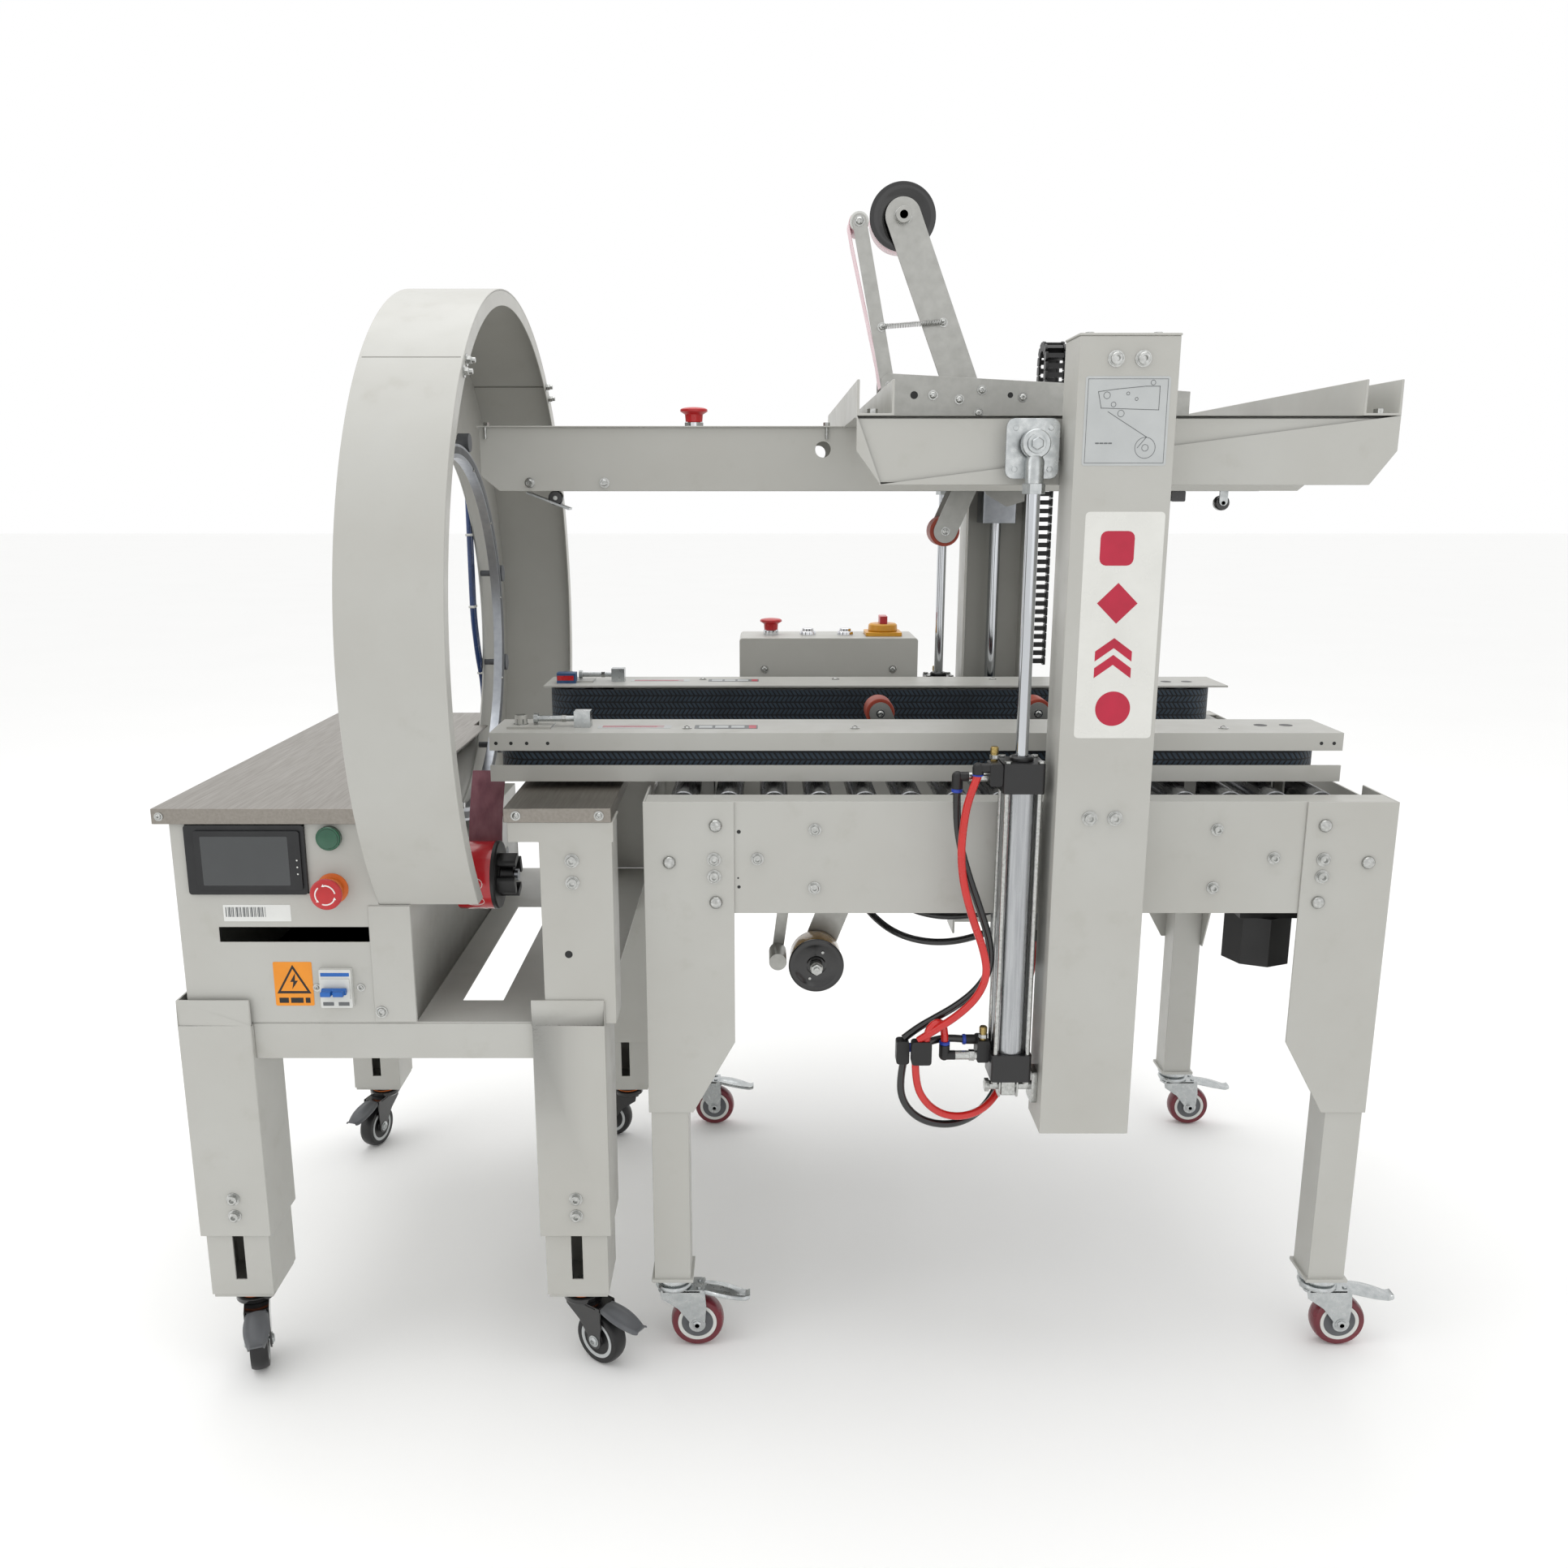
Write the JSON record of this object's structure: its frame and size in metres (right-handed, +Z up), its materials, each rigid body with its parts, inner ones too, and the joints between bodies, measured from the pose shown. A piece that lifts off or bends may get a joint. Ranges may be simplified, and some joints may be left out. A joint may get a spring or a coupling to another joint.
{
  "type": "carton sealer machine",
  "caption": "Side-belt carton sealer with a lifting tape head and a linked orbital tape ring, on legs with swivel casters.",
  "frame": {"origin": "on the floor, at the centre of the outline", "axes": "+X along the carton path towards the infeed end, +Y to the far side, +Z up"},
  "size_m": [1.66, 0.9838, 1.612],
  "materials": {
    "white_powder_coat": "fine orange-peel satin",
    "stainless_sheet": "brushed",
    "zinc_plate": "satin zinc",
    "polished_rod": "polished",
    "mill_aluminium": "satin anodised",
    "black_plastic": "moulded",
    "belt_fabric": "woven chevron",
    "red_polyurethane": "cast",
    "roller_steel": "bright drawn",
    "red_hose": "gloss",
    "black_hose": "gloss",
    "pink_tape": "clear film",
    "brown_tape": "clear film",
    "red_tape": "film",
    "red_plastic": "moulded",
    "green_plastic": "moulded",
    "blue_plastic": "moulded",
    "chrome_cap": "polished",
    "black_tyre": "cast"
  },
  "bodies": {
    "base": {"bed_frame": "white_powder_coat", "corner_brackets": "white_powder_coat", "leg_tubes": "white_powder_coat", "bed_rollers": "roller_steel", "lift_columns": "white_powder_coat", "air_cylinders": "mill_aluminium", "side_frame": "white_powder_coat", "cabinet": "white_powder_coat", "table_tops": "stainless_sheet", "arch_cover": "white_powder_coat", "control_box": "white_powder_coat", "frame_bolts": "zinc_plate", "bottom_head": "white_powder_coat", "hose_red": "red_hose", "hose_black": "black_hose"},
    "head": {"head_frame": "white_powder_coat", "centre_beam": "white_powder_coat", "lift_rods": "polished_rod", "top_head": "white_powder_coat"},
    "near_arm": {"near_belt_arm": "white_powder_coat", "near_belt": "belt_fabric"},
    "far_arm": {"far_belt_arm": "white_powder_coat", "far_belt": "belt_fabric"},
    "top_front_arm": {"top_front_arm": "zinc_plate"},
    "top_rear_arm": {"top_rear_arm": "zinc_plate"},
    "top_roll": {"top_roll": "pink_tape"},
    "tension_arm": {"tension_arm": "zinc_plate"},
    "bottom_front_arm": {"bottom_front_arm": "zinc_plate"},
    "bottom_rear_arm": {"bottom_rear_arm": "zinc_plate"},
    "bottom_roll": {"bottom_roll": "brown_tape"},
    "near_drive_pulley": {"near_drive_pulley": "mill_aluminium"},
    "near_idler_pulley": {"near_idler_pulley": "mill_aluminium"},
    "far_drive_pulley": {"far_drive_pulley": "mill_aluminium"},
    "far_idler_pulley": {"far_idler_pulley": "mill_aluminium"},
    "tape_ring": {"tape_ring": "mill_aluminium"},
    "ring_roll": {"ring_roll": "red_tape"},
    "beam_stop_button": {"beam_stop_button": "red_plastic"},
    "box_stop_button": {"box_stop_button": "red_plastic"},
    "cabinet_stop_button": {"cabinet_stop_button": "red_plastic"},
    "start_button": {"start_button": "green_plastic"},
    "box_button_1": {"box_button_1": "chrome_cap"},
    "box_button_2": {"box_button_2": "chrome_cap"},
    "isolator_knob": {"isolator_knob": "red_plastic"},
    "breaker_lever": {"breaker_lever": "blue_plastic"},
    "fork_bed_near_left": {"fork_bed_near_left": "zinc_plate"},
    "wheel_bed_near_left": {"wheel_bed_near_left": "red_polyurethane"},
    "fork_bed_near_right": {"fork_bed_near_right": "zinc_plate"},
    "wheel_bed_near_right": {"wheel_bed_near_right": "red_polyurethane"},
    "fork_bed_far_left": {"fork_bed_far_left": "zinc_plate"},
    "wheel_bed_far_left": {"wheel_bed_far_left": "red_polyurethane"},
    "fork_bed_far_right": {"fork_bed_far_right": "zinc_plate"},
    "wheel_bed_far_right": {"wheel_bed_far_right": "red_polyurethane"},
    "fork_side_near_left": {"fork_side_near_left": "black_plastic"},
    "wheel_side_near_left": {"wheel_side_near_left": "black_tyre"},
    "fork_side_near_right": {"fork_side_near_right": "black_plastic"},
    "wheel_side_near_right": {"wheel_side_near_right": "black_tyre"},
    "fork_side_far_left": {"fork_side_far_left": "black_plastic"},
    "wheel_side_far_left": {"wheel_side_far_left": "black_tyre"},
    "fork_side_far_right": {"fork_side_far_right": "black_plastic"},
    "wheel_side_far_right": {"wheel_side_far_right": "black_tyre"}
  },
  "joints": [
    {"name": "head_lift", "type": "slide", "parent": "base", "child": "head", "axis": [0, 0, 1], "range_m": [-0.27, 0.02]},
    {"name": "near_arm_slide", "type": "slide", "parent": "base", "child": "near_arm", "axis": [0, 1, 0], "range_m": [-0.03, 0.09]},
    {"name": "far_arm_slide", "type": "slide", "parent": "base", "child": "far_arm", "axis": [0, 1, 0], "range_m": [-0.09, 0.03]},
    {"name": "near_drive_spin", "type": "hinge", "parent": "near_arm", "child": "near_drive_pulley", "pos_m": [0.64, -0.212, 0.84], "axis": [0, 0, 1], "continuous": true},
    {"name": "near_idler_spin", "type": "hinge", "parent": "near_arm", "child": "near_idler_pulley", "pos_m": [-0.374, -0.212, 0.84], "axis": [0, 0, 1], "continuous": true},
    {"name": "far_drive_spin", "type": "hinge", "parent": "far_arm", "child": "far_drive_pulley", "pos_m": [0.64, 0.212, 0.84], "axis": [0, 0, 1], "continuous": true},
    {"name": "far_idler_spin", "type": "hinge", "parent": "far_arm", "child": "far_idler_pulley", "pos_m": [-0.374, 0.212, 0.84], "axis": [0, 0, 1], "continuous": true},
    {"name": "top_front_swing", "type": "hinge", "parent": "head", "child": "top_front_arm", "pos_m": [0.254, 0, 1.248], "axis": [0, 1, 0], "range_deg": [0, 60], "stiffness_Nm_per_rad": 2, "springref_deg": -20.05},
    {"name": "top_rear_swing", "type": "hinge", "parent": "head", "child": "top_rear_arm", "pos_m": [0.494, 0, 1.248], "axis": [0, 1, 0], "range_deg": [0, 60]},
    {"name": "bottom_front_swing", "type": "hinge", "parent": "base", "child": "bottom_front_arm", "pos_m": [0.164, 0, 0.746], "axis": [0, 1, 0], "range_deg": [-60, 0], "stiffness_Nm_per_rad": 2, "springref_deg": 28.65},
    {"name": "bottom_rear_swing", "type": "hinge", "parent": "base", "child": "bottom_rear_arm", "pos_m": [0.404, 0, 0.746], "axis": [0, 1, 0], "range_deg": [-60, 0]},
    {"name": "top_roll_spin", "type": "hinge", "parent": "head", "child": "top_roll", "pos_m": [0.131, 0, 1.5655], "axis": [0, 1, 0], "continuous": true},
    {"name": "bottom_roll_spin", "type": "hinge", "parent": "base", "child": "bottom_roll", "pos_m": [0.02, 0, 0.455], "axis": [0, 1, 0], "continuous": true},
    {"name": "tension_swing", "type": "hinge", "parent": "head", "child": "tension_arm", "pos_m": [0.114, -0.03, 1.34], "axis": [0, 1, 0], "range_deg": [-20, 0], "stiffness_Nm_per_rad": 1, "springref_deg": 22.92},
    {"name": "ring_spin", "type": "hinge", "parent": "base", "child": "tape_ring", "pos_m": [-0.522, 0, 0.977], "axis": [1, 0, 0], "continuous": true},
    {"name": "ring_roll_spin", "type": "hinge", "parent": "tape_ring", "child": "ring_roll", "pos_m": [-0.44, -0.29133, 0.68567], "axis": [1, 0, 0], "continuous": true},
    {"name": "beam_stop_push", "type": "slide", "parent": "head", "child": "beam_stop_button", "axis": [0, 0, 1], "range_m": [-0.004, 0]},
    {"name": "box_stop_push", "type": "slide", "parent": "base", "child": "box_stop_button", "axis": [0, 0, 1], "range_m": [-0.004, 0]},
    {"name": "cabinet_stop_push", "type": "slide", "parent": "base", "child": "cabinet_stop_button", "axis": [0, 1, 0], "range_m": [0, 0.004]},
    {"name": "start_button_push", "type": "slide", "parent": "base", "child": "start_button", "axis": [0, 1, 0], "range_m": [0, 0.0025], "stiffness_N_per_m": 600, "springref_m": -0.002},
    {"name": "box_button_1_push", "type": "slide", "parent": "base", "child": "box_button_1", "axis": [0, 0, 1], "range_m": [-0.003, 0], "stiffness_N_per_m": 600, "springref_m": 0.002},
    {"name": "box_button_2_push", "type": "slide", "parent": "base", "child": "box_button_2", "axis": [0, 0, 1], "range_m": [-0.003, 0], "stiffness_N_per_m": 600, "springref_m": 0.002},
    {"name": "isolator_turn", "type": "hinge", "parent": "base", "child": "isolator_knob", "pos_m": [0.156, 0.418, 0.95], "axis": [0, 0, 1], "range_deg": [0, 90]},
    {"name": "breaker_flip", "type": "hinge", "parent": "base", "child": "breaker_lever", "pos_m": [-0.615, -0.405, 0.563], "axis": [1, 0, 0], "range_deg": [0, 40]},
    {"name": "swivel_bed_near_left", "type": "hinge", "parent": "base", "child": "fork_bed_near_left", "pos_m": [-0.191, -0.33, 0.1], "axis": [0, 0, 1], "range_deg": [-100, 100]},
    {"name": "roll_bed_near_left", "type": "hinge", "parent": "fork_bed_near_left", "child": "wheel_bed_near_left", "pos_m": [-0.158, -0.33, 0.0375], "axis": [0, 1, 0], "continuous": true},
    {"name": "swivel_bed_near_right", "type": "hinge", "parent": "base", "child": "fork_bed_near_right", "pos_m": [0.722, -0.33, 0.1], "axis": [0, 0, 1], "continuous": true},
    {"name": "roll_bed_near_right", "type": "hinge", "parent": "fork_bed_near_right", "child": "wheel_bed_near_right", "pos_m": [0.755, -0.33, 0.0375], "axis": [0, 1, 0], "continuous": true},
    {"name": "swivel_bed_far_left", "type": "hinge", "parent": "base", "child": "fork_bed_far_left", "pos_m": [-0.191, 0.33, 0.1], "axis": [0, 0, 1], "range_deg": [-100, 100]},
    {"name": "roll_bed_far_left", "type": "hinge", "parent": "fork_bed_far_left", "child": "wheel_bed_far_left", "pos_m": [-0.158, 0.33, 0.0375], "axis": [0, 1, 0], "continuous": true},
    {"name": "swivel_bed_far_right", "type": "hinge", "parent": "base", "child": "fork_bed_far_right", "pos_m": [0.722, 0.33, 0.1], "axis": [0, 0, 1], "continuous": true},
    {"name": "roll_bed_far_right", "type": "hinge", "parent": "fork_bed_far_right", "child": "wheel_bed_far_right", "pos_m": [0.755, 0.33, 0.0375], "axis": [0, 1, 0], "continuous": true},
    {"name": "swivel_side_near_left", "type": "hinge", "parent": "base", "child": "fork_side_near_left", "pos_m": [-0.7765, -0.3505, 0.1], "axis": [0, 0, 1], "continuous": true},
    {"name": "roll_side_near_left", "type": "hinge", "parent": "fork_side_near_left", "child": "wheel_side_near_left", "pos_m": [-0.76521, -0.38151, 0.0375], "axis": [0.9397, 0.342, 0], "continuous": true},
    {"name": "swivel_side_near_right", "type": "hinge", "parent": "base", "child": "fork_side_near_right", "pos_m": [-0.3175, -0.3505, 0.1], "axis": [0, 0, 1], "range_deg": [-100, 100]},
    {"name": "roll_side_near_right", "type": "hinge", "parent": "fork_side_near_right", "child": "wheel_side_near_right", "pos_m": [-0.29047, -0.36943, 0.0375], "axis": [0.5736, 0.8192, 0], "continuous": true},
    {"name": "swivel_side_far_left", "type": "hinge", "parent": "base", "child": "fork_side_far_left", "pos_m": [-0.7765, 0.2775, 0.1], "axis": [0, 0, 1], "continuous": true},
    {"name": "roll_side_far_left", "type": "hinge", "parent": "fork_side_far_left", "child": "wheel_side_far_left", "pos_m": [-0.7867, 0.24612, 0.0375], "axis": [0.9511, -0.309, 0], "continuous": true},
    {"name": "swivel_side_far_right", "type": "hinge", "parent": "base", "child": "fork_side_far_right", "pos_m": [-0.3175, 0.2775, 0.1], "axis": [0, 0, 1], "range_deg": [-100, 100]},
    {"name": "roll_side_far_right", "type": "hinge", "parent": "fork_side_far_right", "child": "wheel_side_far_right", "pos_m": [-0.35, 0.28323, 0.0375], "axis": [-0.1736, -0.9848, 0], "continuous": true}
  ],
  "couplings": [
    {"joint": "far_arm_slide", "follows": "near_arm_slide", "ratio": -1},
    {"joint": "top_rear_swing", "follows": "top_front_swing", "ratio": 1},
    {"joint": "bottom_rear_swing", "follows": "bottom_front_swing", "ratio": 1},
    {"joint": "near_idler_spin", "follows": "near_drive_spin", "ratio": 1},
    {"joint": "far_idler_spin", "follows": "far_drive_spin", "ratio": 1}
  ]
}
